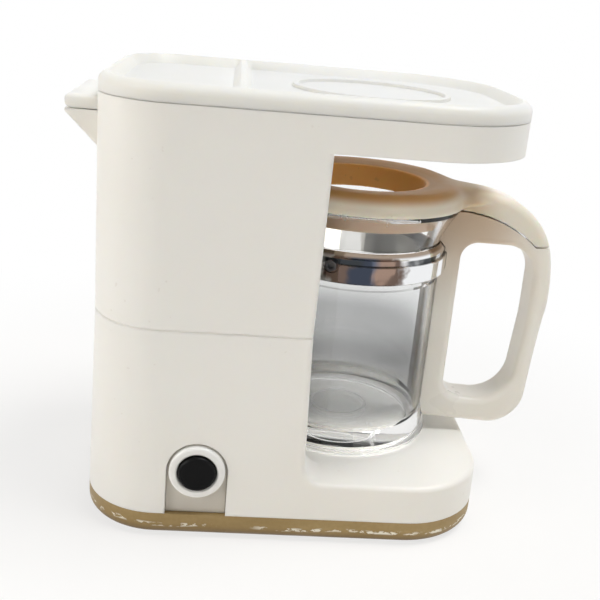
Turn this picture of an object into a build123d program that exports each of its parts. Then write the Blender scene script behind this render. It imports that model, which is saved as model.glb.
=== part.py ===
"""Toy coffee maker: a tower with a head over a jug bay, a hinged lid, a push switch and a small pump.

Frame, in millimetres: +X points to the front where the jug handle is, +Z up, -Y is the side with the switch.
The origin lies on the table, under the middle of the tower and head.
"""
import os
from math import cos, radians, sin, sqrt

from build123d import *

os.makedirs("parts", exist_ok=True)

# housing
body_length = 102.4
body_width = 76.4
wall = 2.0
rear_corner = 17.5
base_front_corner = 20.6
head_front_corner = 26.6
head_overhang = 1.0
platform_setback = 1.3
lower_flare = 0.8
seam_groove = 0.35
edge_round = 1.2

# heights, each counted from the piece below
base_height = 6.4
platform_rise = 9.9
lower_height = 48.2
jug_body_height = 47.4
neck_height = 10.1
jug_lid_rise = 5.4
jug_headroom = 10.6
head_depth = 8.2
lid_height = 4.3

# fits
part_gap = 0.2
slide_gap = 0.1
running_gap = 0.06
hinge_gap = 0.3
screw_gap = 0.15

# jug
jug_wall = 1.6
jug_radius = 22.9
jug_foot_swell = 2.0
jug_foot_round = 2.0
jug_foot_height = 8.0
jug_foot_hollow = 0.8
jug_foot_rim = 5.0
jug_floor = 5.0
jug_floor_round = 2.0
jug_waist_inset = 0.5
jug_shoulder_height = 2.0
jug_mouth_flare = 4.2
jug_neck_bow = 0.7
mouth_roll = 0.7

# band round the jug's waist
band_seat = 0.2
band_height = 4.9
band_thick = 2.2
band_step = 0.7
band_collar = 1.6
band_edge = 0.3
band_bevel = 2.8
clasp_angle = -110.5
clasp_rise = 4.4
clasp_hex = 2.8
clasp_head = 1.3
clasp_sink = 0.6
clasp_shank = 0.8
clasp_length = 1.0
clasp_socket = 0.8
tongue_reach = 1.6
tongue_width = 5.0
tongue_height = 3.4

# jug lid
jug_lid_brim = 0.9
jug_lid_edge = 0.8
jug_lid_wall = 1.8
jug_lid_crown = 7.0
jug_lid_swell = 0.9
jug_lid_hole = 16.7
jug_lid_hole_fall = 1.7
jug_lid_hole_depth = 2.7
plug_depth = 4.7
plug_inset = 3.4
# flare from the lid's dome into its strip: place by the lid's radius, half-width by the handle's half-width,
# shoulder and top by the lid's rise
flare_shares = [
    (0.69, 2.77, 0.46, 0.944),
    (0.855, 2.21, 0.31, 0.889),
    (1.018, 1.64, 0.167, 0.76),
    (1.18, 1.18, 0.09, 0.61),
    (1.36, 0.71, 0.07, 0.43),
]
flare_curve = (0.55, 0.72)

# jug bay
bay_room = 1.5
bay_corner = 5.0
tank_depth = 32.8
post_low = 11.7
post_seam = 12.7
post_top = 11.9

# base plate
base_floor = 2.2
base_round = 3.3

# screws
screw_radius = 1.3
screw_head_radius = 2.4
screw_head = 1.3
screw_sink = 0.2
cross_length = 2.6
cross_width = 0.6
cross_depth = 0.5
boss_radius = 3.5
boss_bite = 0.6
rear_boss_top = 22.0
base_screw_length = 9.0
front_boss_inset = (10.9, 16.2)
tank_boss_inset = (10.2, 14.2)
tower_boss_inset = (10.9, 7.2)
housing_boss_height = 7.0
housing_screw_length = 9.0

# batteries, two AAA cells side by side along Y
cell_radius = 5.2
cell_length = 44.0
cell_nub = 0.8
cell_nub_radius = 1.9
cell_edge = 0.4
cell_pitch = 10.9
battery_inset = 36.7
frame_wall = 1.4
frame_room = 0.3
contact_thick = 0.5
contact_size = 8.0
contact_bump = 2.6
contact_room = 2.2
door_thick = 1.6
door_sink = 0.9
door_ledge = 1.0
door_screw_length = 5.5
door_tab_length = 8.0
door_tab_width = 10.0
door_tab_edge = 1.6
door_boss_height = 6.0
door_rib = (1.0, 12.0, 0.5)
door_rib_pitch = 2.4
door_rib_count = 5

# switch
switch_inset = 27.6
switch_rise = 12.0
slot_half = 7.5
panel_sink = 1.0
panel_thick = 1.3
panel_flange = 1.5
panel_flange_edge = 2.0
bezel_radius = 6.9
bezel_thick = 2.0
bezel_round = 0.7
bezel_inner_edge = 0.35
barrel_radius = 5.7
barrel_bore = 4.9
barrel_depth = 7.0
barrel_length = 9.0
nut_across = 14.0
nut_thick = 1.8
button_radius = 4.65
button_proud = 0.8
button_length = 4.2
button_round = 0.9
plunger_radius = 1.9
plunger_length = 8.5
button_travel = 1.6
switch_body_size = 11.0
switch_body_length = 10.0
terminal_size = (0.6, 2.2, 5.0)
terminal_pitch = 5.0

# pump
pump_inset = 19.2
motor_radius = 10.2
motor_flat = 7.7
motor_length = 23.5
motor_cap_length = 2.0
motor_cap_inset = 0.5
motor_tab = (0.5, 2.2, 3.0)
motor_tab_spread = 6.0
collar_wall = 1.6
collar_depth = 8.0
shaft_radius = 1.0
shaft_end_room = 0.5
seal_radius = 3.0
volute_radius = 10.8
volute_floor = 2.0
chamber_radius = 8.4
chamber_height = 5.6
outlet_size = (3.0, 2.0)
outlet_rise = 1.0
cover_thick = 1.6
inlet_radius = 4.0
impeller_radius = 7.6
impeller_hub = 3.0
blade_thick = 1.1
blade_count = 6
blade_gap = 0.6
socket_reach = 11.6
socket_half = 3.9
socket_wall = 3.1
socket_height = 10.0

# water way
tube_radius = 2.5
tube_bore = 1.6
tube_seat = 3.2
tube_clear = 0.4
tube_bend = 3.6
nozzle_radius = 4.0
nozzle_flange = 6.5
nozzle_flange_thick = 1.4
nozzle_drop = 3.8
nozzle_neck = 1.1
nozzle_tube_drop = 1.5
nozzle_round = 0.8
nozzle_bore = 1.6

# hinge ledge at the back and the lid's tab on it
ledge_half = 16.4
ledge_reach = 8.5
ledge_drop = 5.8
ledge_lip = 0.6
ledge_fall = 9.1
tab_thick = 3.2
tab_round = 1.0
hinge_radius = 1.3
pin_radius = 0.6
pin_inset = 0.4
pin_stop = 3.0
ear_radius = 1.1
ear_width = 2.4
ear_spread = 9.0

# top lid
lid_round = 2.2
lid_rim = 2.6
recess_depth = 2.4
recess_slope = 35.0
lid_plate = 1.4
ridge_inset = 32.9
ridge_width = 1.2
recess_corner = 2.0
ring_radius = 20.2
ring_width = 1.4
ring_height = 0.8
lip_depth = 1.8
lip_thick = 1.4
lip_inset = 21.2

# handle, its points as shares of the grip's reach and of the jug's height
grip_reach = 31.5
grip_root = 2.2
handle_half = 5.6
handle_edge = 2.0
handle_seam_gap = 0.3
grip_top_share = 1.085
grip_bow_shares = [(0.292, 1.062), (0.68, 0.994), (0.914, 0.86), (0.993, 0.631), (0.933, 0.22)]
grip_bottom_share = 0.061
heel_share = (0.914, 0.035)
heel_round = 10.0
window_shares = [(0.178, 0.162), (0.778, 0.149), (0.835, 0.524), (0.825, 0.838), (0.171, 0.841)]
window_rounds = [5.0, 10.0, 40.0, 8.5, 4.5]
seam_shares = [(1.19, 0.849), (0.796, 0.843), (0.587, 0.912), (0.327, 0.96), (0.175, 0.973)]

# heights above the table
base_top = base_height
platform_top = base_top + platform_rise
seam_height = base_top + lower_height
jug_bottom = platform_top + part_gap
jug_shoulder = jug_bottom + jug_body_height
band_bottom = jug_shoulder + band_seat
band_top = band_bottom + band_height
band_crown = band_top + band_bevel
jug_waist_top = band_crown + part_gap
jug_top = jug_waist_top + neck_height
jug_height = jug_top - jug_bottom
jug_lid_bottom = jug_top + hinge_gap
jug_lid_crest = jug_lid_bottom + jug_lid_rise
head_bottom = jug_lid_crest + jug_headroom
lid_seam = head_bottom + head_depth
lid_bottom = lid_seam + slide_gap
total_height = lid_seam + lid_height
deck_under = seam_height - wall
tank_floor = seam_height + wall

# radii of the jug
jug_foot_radius = jug_radius + jug_foot_swell
jug_waist = jug_radius - jug_waist_inset
jug_mouth_radius = jug_waist + jug_mouth_flare
band_radius = jug_waist + band_thick
jug_lid_radius = jug_mouth_radius + jug_lid_brim
jug_lid_crest_radius = jug_lid_radius - jug_lid_crown
plug_radius = jug_mouth_radius - jug_wall - plug_inset
bay_radius = jug_lid_radius + bay_room

# places along the length
rear_face = -body_length / 2
front_face = body_length / 2
jug_x = rear_face + wall + tank_depth + wall + bay_radius
jug_side = jug_x + jug_radius
grip_inner = jug_x + jug_waist - grip_root
tower_front_low = jug_x - post_low
tower_front_seam = jug_x - post_seam
tower_front_top = jug_x - post_top
battery_x = front_face - battery_inset
switch_x = rear_face + switch_inset
switch_z = base_top + switch_rise
pump_x = rear_face + pump_inset
socket_x = pump_x + socket_reach
ridge_x = rear_face + ridge_inset
lip_start = rear_face + lip_inset
tube_top = head_bottom + wall + tube_radius + tube_clear
nozzle_tube_end = head_bottom - nozzle_tube_drop
ledge_tip = rear_face - ledge_reach
ledge_top = lid_seam - ledge_drop
ledge_foot = ledge_top - ledge_fall
tab_half = ledge_half - slide_gap
tab_bottom = ledge_top + part_gap
tab_top = tab_bottom + tab_thick
pin_x = ledge_tip + hinge_radius
pin_z = tab_bottom + hinge_radius

# screw posts: at the rear against the round corners, at the front under the platform
rear_boss_slant = (rear_corner + lower_flare - wall - boss_radius + boss_bite) / sqrt(2)
rear_boss_x = rear_face + rear_corner - rear_boss_slant
rear_boss_y = body_width / 2 - rear_corner + rear_boss_slant
front_boss_x = front_face - platform_setback - front_boss_inset[0]
front_boss_y = body_width / 2 - front_boss_inset[1]
rear_boss_spots = [(rear_boss_x, side * rear_boss_y) for side in (-1, 1)]
front_boss_spots = [(front_boss_x, side * front_boss_y) for side in (-1, 1)]
base_boss_spots = rear_boss_spots + front_boss_spots
housing_screw_spots = []
for side in (-1, 1):
    housing_screw_spots.append(
        (rear_face + tank_boss_inset[0], side * (body_width / 2 - tank_boss_inset[1]))
    )
    housing_screw_spots.append(
        (tower_front_seam - tower_boss_inset[0], side * (body_width / 2 - tower_boss_inset[1]))
    )


def outline(grow, front_corner, height, reach=0.0):
    """Plan of the housing: wide rear corners, wider front corners."""
    with BuildSketch(Plane.XY.offset(height)) as plan:
        with Locations((rear_face - grow, 0)):
            Rectangle(
                body_length + reach + 2 * grow,
                body_width + 2 * grow,
                align=(Align.MIN, Align.CENTER),
            )
        fillet(plan.vertices().group_by(Axis.X)[0], rear_corner + grow)
        fillet(plan.vertices().group_by(Axis.X)[-1], front_corner + grow)
    return plan.sketch


def jug_bay(grow):
    """Space that the jug stands in: open to the front, with a round back."""
    reach = body_length
    with BuildPart() as bay:
        with BuildSketch(Plane.XZ) as side:
            with BuildLine():
                Polyline(
                    (tower_front_low - grow, platform_top - grow),
                    (tower_front_seam - grow, seam_height),
                    (tower_front_top - grow, head_bottom + grow),
                    (reach, head_bottom + grow),
                    (reach, platform_top - grow),
                    close=True,
                )
            make_face()
            fillet(side.vertices().sort_by_distance((tower_front_low, 0, platform_top))[0], bay_corner)
        extrude(amount=body_width, both=True)
        with Locations((jug_x, 0, platform_top - grow)):
            Cylinder(
                bay_radius + grow,
                head_bottom - platform_top + 2 * grow,
                align=(Align.CENTER, Align.CENTER, Align.MIN),
            )
    return bay.part


def post(radius, bottom, top, spots):
    """Upright round posts from one height to another."""
    with BuildPart() as posts:
        with Locations([(x, y, bottom) for x, y in spots]):
            Cylinder(radius, top - bottom, align=(Align.CENTER, Align.CENTER, Align.MIN))
    return posts.part


def pan_screw(length):
    """Pan-head screw pointing up: the head's underside lies at the origin's height."""
    with BuildPart() as screw:
        Cylinder(screw_radius, length, align=(Align.CENTER, Align.CENTER, Align.MIN))
        Cylinder(screw_head_radius, screw_head, align=(Align.CENTER, Align.CENTER, Align.MAX))
        chamfer(screw.edges().group_by(Axis.Z)[0], screw_head / 3)
        with BuildSketch(Plane.XY.offset(-screw_head)):
            Rectangle(cross_width, cross_length)
            Rectangle(cross_length, cross_width)
        extrude(amount=cross_depth, mode=Mode.SUBTRACT)
    return screw.part


def slot_shape(grow, bottom):
    """Round-topped slot in the side wall, in the XZ plane."""
    with BuildSketch(Plane.XZ) as slot:
        with Locations((switch_x, switch_z)):
            Circle(slot_half + grow)
        with Locations((switch_x, bottom)):
            Rectangle(2 * (slot_half + grow), switch_z - bottom, align=(Align.CENTER, Align.MIN))
    return slot.sketch


def on_outer_seam(edge):
    """Edges that lie on the outside of the tower at the seam: the two sides, the corners and the back."""
    middle = edge.center()
    at_side = middle.X < tower_front_seam - 1 and abs(middle.Y) > body_width / 5
    return at_side or middle.X < rear_face + 1


def across(y):
    """Move a shape that was drawn at the middle out to the switch side."""
    return Pos(0, y, 0)


lower_base = lower_flare - wall

# lower housing
with BuildPart() as lower_cavity:
    loft(
        [
            outline(lower_base, base_front_corner, base_top, -platform_setback),
            outline(-wall, base_front_corner, deck_under, -platform_setback),
        ],
        ruled=True,
    )
    add(jug_bay(wall), mode=Mode.SUBTRACT)

side_y = -(body_width / 2 + lower_flare * (seam_height - switch_z) / lower_height)
panel_front = side_y + panel_sink
panel_back = panel_front + panel_thick + panel_flange
flange_front = panel_front + panel_thick

with BuildPart() as lower_housing:
    loft(
        [
            outline(lower_flare, base_front_corner, base_top, -platform_setback),
            outline(0, base_front_corner, seam_height, -platform_setback),
        ],
        ruled=True,
    )
    add(jug_bay(0), mode=Mode.SUBTRACT)
    rim = lower_housing.edges().filter_by_position(Axis.Z, platform_top - 0.01, platform_top + 0.01)
    fillet(rim.filter_by(lambda e: e.center().X > jug_x), edge_round)
    add(lower_cavity.part, mode=Mode.SUBTRACT)
    seat = lower_housing.edges().group_by(Axis.Z)[-1]
    chamfer(seat.filter_by(on_outer_seam), seam_groove)
    # screw posts: short ones under the platform, tall ones against the rear corners
    add(post(boss_radius, base_floor + part_gap, platform_top - wall, front_boss_spots))
    add(post(boss_radius, base_floor + part_gap, rear_boss_top, rear_boss_spots))
    add(
        post(screw_radius, base_floor - 1, base_floor + base_screw_length + 1, base_boss_spots),
        mode=Mode.SUBTRACT,
    )
    # collar that holds the motor under the deck
    with BuildSketch(Plane.XY.offset(deck_under - collar_depth)):
        with Locations((pump_x, 0)):
            Circle(motor_radius + slide_gap + collar_wall)
            Circle(motor_radius + slide_gap, mode=Mode.SUBTRACT)
    extrude(amount=collar_depth)
    # shaft hole and screw holes in the deck
    add(post(seal_radius, deck_under - 1, seam_height + 1, [(pump_x, 0)]), mode=Mode.SUBTRACT)
    add(
        post(screw_radius + screw_gap, deck_under - 1, seam_height + 1, housing_screw_spots),
        mode=Mode.SUBTRACT,
    )
    # slot for the switch panel
    extrude(
        across(side_y + 2 * wall) * slot_shape(0, base_top - 1),
        amount=3 * wall,
        mode=Mode.SUBTRACT,
    )
lower_housing.part.label = "lower_housing"
export_step(lower_housing.part, "parts/lower_housing.step")

# base plate
frame_half_x = cell_pitch / 2 + cell_radius + frame_room
frame_half_y = cell_length / 2 + contact_room
door_end = battery_x + frame_half_x
door_screw_x = door_end + door_tab_length - screw_head_radius - door_tab_edge


def door_shape(grow, height):
    """Plan of the battery door: a rectangle with a tab for its screw."""
    with BuildSketch(Plane.XY.offset(height)) as plan:
        with Locations((battery_x, 0)):
            Rectangle(2 * (frame_half_x + grow), 2 * (frame_half_y + grow))
        with Locations((battery_x, 0)):
            Rectangle(
                frame_half_x + door_tab_length + grow,
                door_tab_width + 2 * grow,
                align=(Align.MIN, Align.CENTER),
            )
    return plan.sketch


with BuildPart() as base_plate:
    extrude(outline(lower_flare, base_front_corner, 0, -platform_setback), amount=base_top)
    fillet(base_plate.edges().group_by(Axis.Z)[0], base_round)
    extrude(
        outline(lower_base, base_front_corner, base_floor, -platform_setback),
        amount=base_top,
        mode=Mode.SUBTRACT,
    )
    # door opening with a ledge that the door rests against
    extrude(door_shape(0, 0), amount=door_thick + slide_gap, mode=Mode.SUBTRACT)
    with BuildSketch():
        with Locations((battery_x, 0)):
            Rectangle(2 * (frame_half_x - door_ledge), 2 * (frame_half_y - door_ledge))
    extrude(amount=base_floor, mode=Mode.SUBTRACT)
    add(
        post(screw_radius + screw_gap, 0, base_top, base_boss_spots + [(door_screw_x, 0)]),
        mode=Mode.SUBTRACT,
    )
    add(
        post(screw_head_radius + screw_gap, 0, screw_head + screw_sink, base_boss_spots),
        mode=Mode.SUBTRACT,
    )
    # room in the rim for the screw posts
    add(post(boss_radius + part_gap, base_floor, base_top + 1, base_boss_spots), mode=Mode.SUBTRACT)
base_plate.part.label = "base_plate"
export_step(base_plate.part, "parts/base_plate.step")

with BuildPart() as base_screws:
    for x, y in base_boss_spots:
        add(Pos(x, y, screw_head + screw_sink) * pan_screw(base_screw_length))
base_screws.part.label = "base_screws"
export_step(base_screws.part, "parts/base_screws.step")

with BuildPart() as battery_door:
    extrude(door_shape(-part_gap, 0), amount=door_thick)
    add(
        post(screw_radius + screw_gap, 0, base_top, [(door_screw_x, 0)]),
        mode=Mode.SUBTRACT,
    )
    add(
        post(screw_head_radius + screw_gap, 0, door_sink, [(door_screw_x, 0)]),
        mode=Mode.SUBTRACT,
    )
    # grip ribs beside the far edge
    with BuildSketch():
        with Locations((battery_x, 0)):
            with GridLocations(door_rib_pitch, 0, door_rib_count, 1):
                Rectangle(door_rib[0], door_rib[1])
    extrude(amount=door_rib[2], mode=Mode.SUBTRACT)
battery_door.part.label = "battery_door"
export_step(battery_door.part, "parts/battery_door.step")


def door_screw():
    """Thin-headed screw pointing up: the head's underside lies at the origin's height."""
    with BuildPart() as screw:
        Cylinder(screw_radius, door_screw_length, align=(Align.CENTER, Align.CENTER, Align.MIN))
        Cylinder(
            screw_head_radius,
            door_sink - screw_sink,
            align=(Align.CENTER, Align.CENTER, Align.MAX),
        )
        with BuildSketch(Plane.XY.offset(screw_sink - door_sink)):
            Rectangle(cross_width, cross_length)
            Rectangle(cross_length, cross_width)
        extrude(amount=cross_depth, mode=Mode.SUBTRACT)
    return screw.part


with BuildPart() as battery_door_screw:
    add(Pos(door_screw_x, 0, door_sink) * door_screw())
battery_door_screw.part.label = "battery_door_screw"
export_step(battery_door_screw.part, "parts/battery_door_screw.step")

# battery frame: a wall round the two cells with a rib between them and a post for the door screw
frame_top = platform_top - wall - part_gap
with BuildPart() as battery_frame:
    with BuildSketch(Plane.XY.offset(base_floor)):
        with Locations((battery_x, 0)):
            Rectangle(2 * (frame_half_x + frame_wall), 2 * (frame_half_y + frame_wall))
            Rectangle(2 * frame_half_x, 2 * frame_half_y, mode=Mode.SUBTRACT)
    extrude(amount=frame_top - base_floor)
    with BuildSketch(Plane.XY.offset(base_floor)):
        with Locations((door_screw_x, 0)):
            Circle(boss_radius)
        with Locations((door_end + frame_wall / 2, 0)):
            Rectangle(
                door_screw_x - door_end - frame_wall / 2,
                frame_wall,
                align=(Align.MIN, Align.CENTER),
            )
    extrude(amount=door_boss_height)
    add(
        post(screw_radius, base_floor - 1, door_sink + door_screw_length + part_gap, [(door_screw_x, 0)]),
        mode=Mode.SUBTRACT,
    )
battery_frame.part.label = "battery_frame"
export_step(battery_frame.part, "parts/battery_frame.step")

cell_z = door_thick + part_gap + cell_radius
with BuildPart() as batteries:
    for place, way in ((-1, 1), (1, -1)):
        x = battery_x + place * cell_pitch / 2
        with BuildSketch(Plane((x, -way * cell_length / 2, cell_z), z_dir=(0, way, 0))):
            Circle(cell_radius)
        extrude(amount=cell_length)
        with BuildSketch(Plane((x, way * cell_length / 2, cell_z), z_dir=(0, way, 0))):
            Circle(cell_nub_radius)
        extrude(amount=cell_nub)
    ends = batteries.edges().filter_by(GeomType.CIRCLE)
    chamfer(ends.filter_by(lambda e: e.radius > 2 * cell_nub_radius), cell_edge)
batteries.part.label = "batteries"
export_step(batteries.part, "parts/batteries.step")

# battery contacts: plates on the end walls with a domed bump that reaches each cell
with BuildPart() as battery_contacts:
    for place, way in ((-1, 1), (1, -1)):
        x = battery_x + place * cell_pitch / 2
        for end in (-1, 1):
            reach = contact_room - contact_thick - slide_gap
            if end == way:
                reach = reach - cell_nub
            with Locations((x, end * (frame_half_y - contact_thick / 2), cell_z)):
                Box(contact_size, contact_thick, contact_size)
            tip = Plane((x, end * (frame_half_y - contact_thick), cell_z), z_dir=(0, -end, 0))
            with BuildSketch(tip):
                Circle(contact_bump)
            extrude(amount=reach, taper=20)
battery_contacts.part.label = "battery_contacts"
export_step(battery_contacts.part, "parts/battery_contacts.step")

# switch panel: fills the slot and spreads out behind the wall
with BuildPart() as switch_panel:
    extrude(
        across(flange_front) * slot_shape(-slide_gap, base_top + slide_gap),
        amount=panel_thick,
    )
    extrude(
        across(panel_back) * slot_shape(panel_flange_edge, base_floor + slide_gap),
        amount=panel_flange,
    )
    with BuildSketch(Plane.XZ.offset(-panel_back)):
        with Locations((switch_x, switch_z)):
            Circle(barrel_radius + slide_gap)
    extrude(amount=panel_thick + panel_flange, mode=Mode.SUBTRACT)
switch_panel.part.label = "switch_panel"
export_step(switch_panel.part, "parts/switch_panel.step")


def switch_disc(radius, y_start, y_end):
    """Round length along Y about the switch's axis."""
    with BuildPart() as disc:
        with BuildSketch(Plane((switch_x, y_start, switch_z), x_dir=(1, 0, 0), z_dir=(0, 1, 0))):
            Circle(radius)
        extrude(amount=y_end - y_start)
    return disc.part


bezel_front = panel_front - bezel_thick
barrel_end = panel_front + barrel_length
with BuildPart() as switch_bezel:
    add(switch_disc(bezel_radius, bezel_front, panel_front))
    fillet(switch_bezel.edges().group_by(Axis.Y)[0], bezel_round)
    add(switch_disc(barrel_radius, panel_front, barrel_end))
    add(switch_disc(barrel_bore, bezel_front, bezel_front + barrel_depth), mode=Mode.SUBTRACT)
    add(switch_disc(plunger_radius + running_gap, panel_front, barrel_end), mode=Mode.SUBTRACT)
    inner_lip = switch_bezel.edges().group_by(Axis.Y)[0]
    chamfer(inner_lip.sort_by(SortBy.LENGTH)[0], bezel_inner_edge)
switch_bezel.part.label = "switch_bezel"
export_step(switch_bezel.part, "parts/switch_bezel.step")

with BuildPart() as switch_nut:
    with BuildSketch(Plane((switch_x, panel_back, switch_z), x_dir=(1, 0, 0), z_dir=(0, 1, 0))):
        RegularPolygon(nut_across / 2, 6, major_radius=False)
        Circle(barrel_radius + running_gap, mode=Mode.SUBTRACT)
    extrude(amount=nut_thick)
switch_nut.part.label = "switch_nut"
export_step(switch_nut.part, "parts/switch_nut.step")

button_front = bezel_front - button_proud
with BuildPart() as switch_button:
    add(switch_disc(button_radius, button_front, button_front + button_length))
    fillet(switch_button.edges().group_by(Axis.Y)[0], button_round)
    add(
        switch_disc(
            plunger_radius,
            button_front + button_length,
            button_front + button_length + plunger_length,
        )
    )
switch_button.part.label = "switch_button"
export_step(switch_button.part, "parts/switch_button.step")

plunger_end = button_front + button_length + plunger_length
with BuildPart() as switch_body:
    with BuildSketch(Plane((switch_x, barrel_end, switch_z), x_dir=(1, 0, 0), z_dir=(0, 1, 0))):
        RectangleRounded(switch_body_size, switch_body_size, 1.0)
    extrude(amount=switch_body_length)
    add(
        switch_disc(plunger_radius + running_gap, barrel_end, plunger_end + button_travel + 1),
        mode=Mode.SUBTRACT,
    )
switch_body.part.label = "switch_body"
export_step(switch_body.part, "parts/switch_body.step")

with BuildPart() as switch_terminals:
    for place in (-1, 1):
        with Locations((switch_x + place * terminal_pitch / 2, barrel_end + switch_body_length, switch_z)):
            Box(
                terminal_size[0],
                terminal_size[2],
                terminal_size[1],
                align=(Align.CENTER, Align.MIN, Align.CENTER),
            )
switch_terminals.part.label = "switch_terminals"
export_step(switch_terminals.part, "parts/switch_terminals.step")

# upper housing
with BuildPart() as upper_cavity:
    extrude(outline(-wall, head_front_corner, tank_floor, head_overhang), amount=lid_seam - tank_floor)
    add(jug_bay(wall), mode=Mode.SUBTRACT)

with BuildPart() as upper_housing:
    extrude(outline(0, head_front_corner, seam_height, head_overhang), amount=lid_seam - seam_height)
    add(jug_bay(0), mode=Mode.SUBTRACT)
    front_posts = upper_housing.edges().filter_by(
        lambda e: abs(abs(e.center().Y) - body_width / 2) < 0.01
        and abs(e.center().X - (tower_front_seam + tower_front_top) / 2) < 0.5
    )
    fillet(front_posts, edge_round)
    add(upper_cavity.part, mode=Mode.SUBTRACT)
    seat = upper_housing.edges().group_by(Axis.Z)[0]
    chamfer(seat.filter_by(on_outer_seam), seam_groove)
    # ledge at the back, with two ears that hold the hinge pin
    with BuildSketch(Plane.XZ):
        with BuildLine():
            Polyline(
                (rear_face + wall, ledge_top),
                (ledge_tip, ledge_top),
                (ledge_tip, ledge_top - ledge_lip),
                (rear_face, ledge_foot),
                (rear_face + wall, ledge_foot),
                close=True,
            )
        make_face()
    extrude(amount=ledge_half, both=True)
    for side in (-1, 1):
        with BuildSketch(Plane.XZ.offset(side * ear_spread - ear_width / 2)):
            with Locations((pin_x, pin_z)):
                Circle(ear_radius)
                Rectangle(2 * ear_radius, hinge_radius + ledge_lip, align=(Align.CENTER, Align.MAX))
        extrude(amount=ear_width)
    # notch in the rear wall for the lid's skirt
    with BuildSketch(Plane.XZ):
        with Locations((rear_face - 1, ledge_top)):
            Rectangle(wall + 2, lid_seam - ledge_top + 1, align=(Align.MIN, Align.MIN))
    extrude(amount=tab_half + hinge_gap, both=True, mode=Mode.SUBTRACT)
    with BuildSketch(Plane.XZ):
        with Locations((pin_x, pin_z)):
            Circle(pin_radius + running_gap)
    extrude(amount=ledge_half, both=True, mode=Mode.SUBTRACT)
    # posts for the housing screws, shaft hole and drip hole
    add(post(boss_radius, tank_floor, tank_floor + housing_boss_height, housing_screw_spots))
    add(
        post(screw_radius, seam_height - 1, deck_under + housing_screw_length, housing_screw_spots),
        mode=Mode.SUBTRACT,
    )
    add(post(seal_radius, seam_height - 1, tank_floor + 1, [(pump_x, 0)]), mode=Mode.SUBTRACT)
    add(
        post(nozzle_radius + slide_gap, head_bottom - 1, head_bottom + wall + 1, [(jug_x, 0)]),
        mode=Mode.SUBTRACT,
    )
upper_housing.part.label = "upper_housing"
export_step(upper_housing.part, "parts/upper_housing.step")

with BuildPart() as housing_screws:
    for x, y in housing_screw_spots:
        add(Pos(x, y, deck_under) * pan_screw(housing_screw_length - 1))
housing_screws.part.label = "housing_screws"
export_step(housing_screws.part, "parts/housing_screws.step")

# top lid
panel_top = total_height - recess_depth
with BuildPart() as lid_recess:
    with BuildSketch(Plane.XY.offset(total_height)) as panels:
        add(outline(-lid_rim, head_front_corner, 0, head_overhang))
        with Locations((ridge_x, 0)):
            Rectangle(ridge_width, body_width, mode=Mode.SUBTRACT)
        fillet(
            panels.vertices().filter_by(lambda v: abs(v.X - ridge_x) < ridge_width),
            recess_corner,
        )
    extrude(amount=-recess_depth, taper=recess_slope)

# tab of the lid: rounded on top, turned about the pin below, with slots for the ears
with BuildPart() as lid_tab:
    with BuildSketch(Plane.XZ):
        with BuildLine():
            under = Line((rear_face + wall, tab_bottom), (pin_x, tab_bottom))
            turn = RadiusArc(under @ 1, (ledge_tip, pin_z), hinge_radius)
            Polyline(turn @ 1, (ledge_tip, tab_top), (rear_face + wall, tab_top), under @ 0)
        make_face()
    extrude(amount=tab_half, both=True)
    tab_rim = lid_tab.edges().filter_by_position(Axis.Z, tab_top - 0.01, tab_top + 0.01)
    fillet(tab_rim.filter_by(lambda e: e.center().X < rear_face + 1), tab_round)
    slot_end = pin_x + ear_radius + hinge_gap
    slot_top = pin_z + ear_radius + hinge_gap
    for side in (-1, 1):
        with Locations((slot_end, side * ear_spread, slot_top)):
            Box(
                slot_end - ledge_tip + 1,
                ear_width + 2 * hinge_gap,
                slot_top - tab_bottom + 1,
                align=(Align.MAX, Align.CENTER, Align.MAX),
                mode=Mode.SUBTRACT,
            )
    # pin hole, open at the far end only
    with BuildSketch(Plane.XZ.offset(tab_half - pin_stop)):
        with Locations((pin_x, pin_z)):
            Circle(pin_radius + running_gap)
    extrude(amount=-2 * tab_half, mode=Mode.SUBTRACT)

with BuildPart() as top_lid:
    extrude(outline(0, head_front_corner, lid_bottom, head_overhang), amount=total_height - lid_bottom)
    fillet(top_lid.edges().group_by(Axis.Z)[-1], lid_round)
    add(lid_recess.part, mode=Mode.SUBTRACT)
    extrude(
        outline(-wall - lip_thick - part_gap, head_front_corner, lid_bottom, head_overhang),
        amount=panel_top - lid_plate - lid_bottom,
        mode=Mode.SUBTRACT,
    )
    # raised ring over the jug
    with BuildSketch(Plane.XY.offset(panel_top)):
        with Locations((jug_x, 0)):
            Circle(ring_radius)
            Circle(ring_radius - ring_width, mode=Mode.SUBTRACT)
    extrude(amount=ring_height)
    # lip that drops inside the side and front walls
    with BuildSketch(Plane.XY.offset(lid_bottom - lip_depth)):
        add(outline(-wall - part_gap, head_front_corner, 0, head_overhang))
        add(
            outline(-wall - part_gap - lip_thick, head_front_corner, 0, head_overhang),
            mode=Mode.SUBTRACT,
        )
        with Locations((lip_start, 0)):
            Rectangle(body_length, body_width, align=(Align.MAX, Align.CENTER), mode=Mode.SUBTRACT)
    extrude(amount=lip_depth)
    # rear skirt in the notch, and the tab behind it
    with BuildSketch(Plane.XZ):
        with Locations((rear_face, tab_bottom)):
            Rectangle(wall, lid_bottom - tab_bottom + 1, align=(Align.MIN, Align.MIN))
    extrude(amount=tab_half, both=True)
    add(lid_tab.part)
top_lid.part.label = "top_lid"
export_step(top_lid.part, "parts/top_lid.step")

with BuildPart() as lid_hinge_pin:
    with BuildSketch(Plane.XZ.offset(tab_half - pin_stop - pin_inset)):
        with Locations((pin_x, pin_z)):
            Circle(pin_radius)
    extrude(amount=-2 * (tab_half - pin_inset) + pin_stop)
lid_hinge_pin.part.label = "lid_hinge_pin"
export_step(lid_hinge_pin.part, "parts/lid_hinge_pin.step")

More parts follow.
